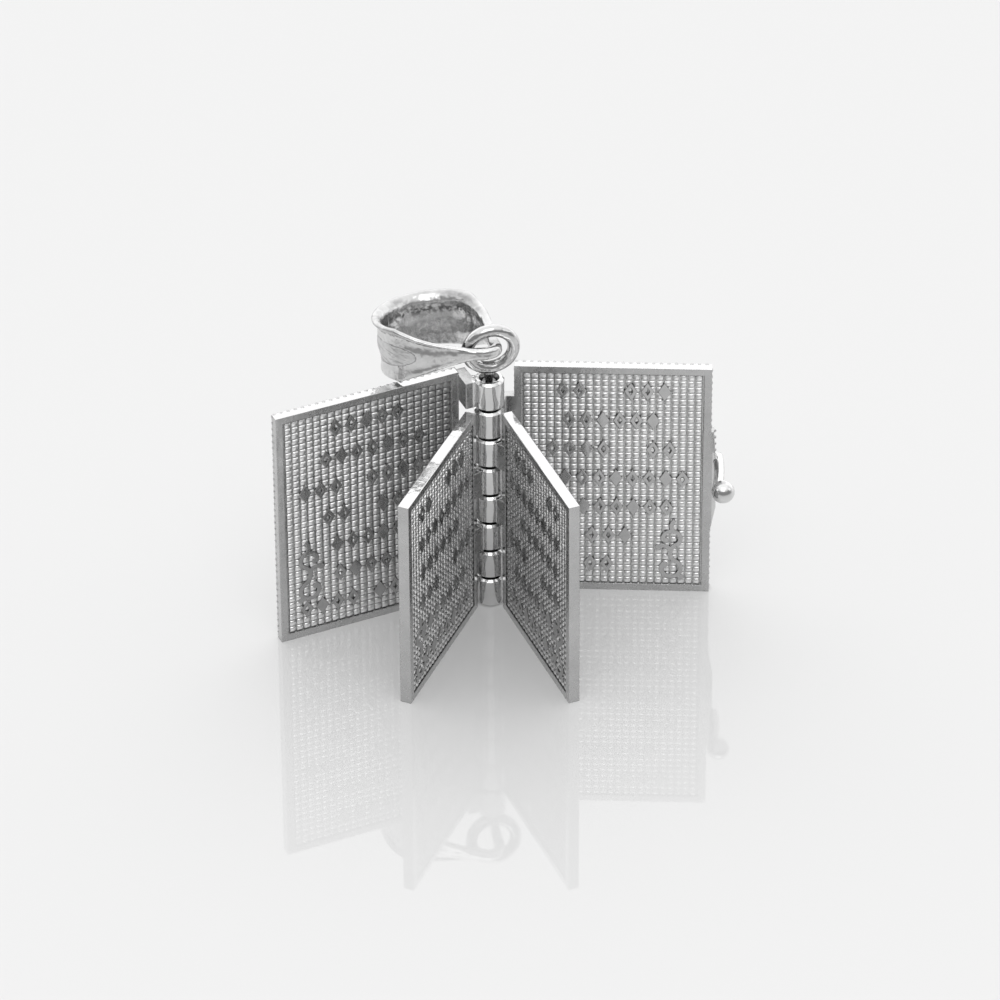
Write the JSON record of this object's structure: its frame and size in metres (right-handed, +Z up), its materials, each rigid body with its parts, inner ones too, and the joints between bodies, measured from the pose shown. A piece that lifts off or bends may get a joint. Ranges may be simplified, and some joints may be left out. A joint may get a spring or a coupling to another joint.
{
  "type": "book charm pendant",
  "caption": "Silver book charm that stands open: covers and relief pages turn on a shared hinge pin, with a ball clasp, a ring and a flared bail for a chain.",
  "frame": {"origin": "on the hinge axis at the foot of the hinge pin, in the plane that the charm stands on", "axes": "+Z up along the hinge axis, -Y towards the viewer, whom the pages face, +X to the back cover's side"},
  "size_m": [0.0284, 0.0169, 0.021],
  "materials": {
    "cover_silver": "cast silver, lightly polished",
    "page_silver": "cast silver, satin",
    "polished_silver": "polished silver"
  },
  "bodies": {
    "front_cover": {"front_cover": "cover_silver", "ring_pin": "polished_silver", "bail": "polished_silver"},
    "page_1": {"page_1": "page_silver"},
    "page_2": {"page_2": "page_silver"},
    "back_cover": {"back_cover": "cover_silver"}
  },
  "joints": [
    {"name": "page_1_turn", "type": "hinge", "parent": "front_cover", "child": "page_1", "pos_m": [0, 0, 0], "axis": [0, 0, 1], "range_deg": [-43.5, 26.5]},
    {"name": "page_2_turn", "type": "hinge", "parent": "page_1", "child": "page_2", "pos_m": [0, 0, 0], "axis": [0, 0, 1], "range_deg": [-44.5, 25.5]},
    {"name": "back_cover_turn", "type": "hinge", "parent": "page_2", "child": "back_cover", "pos_m": [0, 0, 0], "axis": [0, 0, 1], "range_deg": [-65.5, 12.5]}
  ]
}
